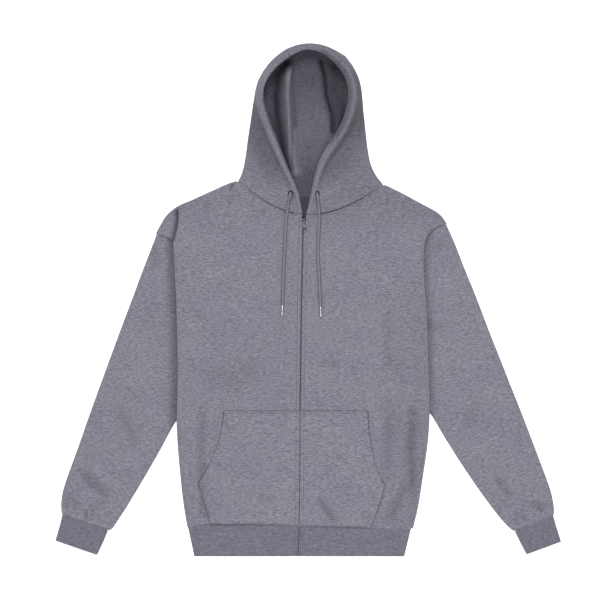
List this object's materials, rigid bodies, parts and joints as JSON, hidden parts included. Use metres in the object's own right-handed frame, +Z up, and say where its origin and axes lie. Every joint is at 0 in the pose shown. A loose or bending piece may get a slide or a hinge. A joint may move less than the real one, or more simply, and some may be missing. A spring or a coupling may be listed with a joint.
{
  "type": "zip up hoodie",
  "caption": "Full-zip hooded sweatshirt laid flat, with split kangaroo pocket, drawcords, ribbed waistband and cuffs.",
  "frame": {"origin": "centre of the garment's box, on the surface that it lies on", "axes": "+Z up from the surface, +Y from the hem to the hood, +X to the wearer's left"},
  "size_m": [0.962, 0.9754, 0.046],
  "materials": {
    "fleece": "matt brushed-back fleece, grey marl",
    "rib_knit": "matt rib knit, darker grey marl",
    "zip_tape": "woven tape with nylon coil",
    "cord": "braided cotton cord",
    "metal": "nickel plate, satin"
  },
  "bodies": {
    "garment": {"back": "fleece", "waistband": "rib_knit", "hood_centre": "fleece", "zip_slider": "metal", "front_right": "fleece", "hood_right": "fleece", "sleeve_right": "fleece", "cuff_right": "rib_knit", "pocket_right": "fleece", "zip_right": "zip_tape", "eyelet_right": "metal", "drawcord_right": "cord", "cord_tip_right": "metal", "front_left": "fleece", "hood_left": "fleece", "sleeve_left": "fleece", "cuff_left": "rib_knit", "pocket_left": "fleece", "zip_left": "zip_tape", "eyelet_left": "metal", "drawcord_left": "cord", "cord_tip_left": "metal"},
    "zip_pull": {"zip_pull": "metal"}
  },
  "joints": [
    {"name": "pull_swing", "type": "hinge", "parent": "garment", "child": "zip_pull", "pos_m": [-0.00799, 0.153, 0.009], "axis": [-1, 0, 0], "range_deg": [0, 160]}
  ]
}
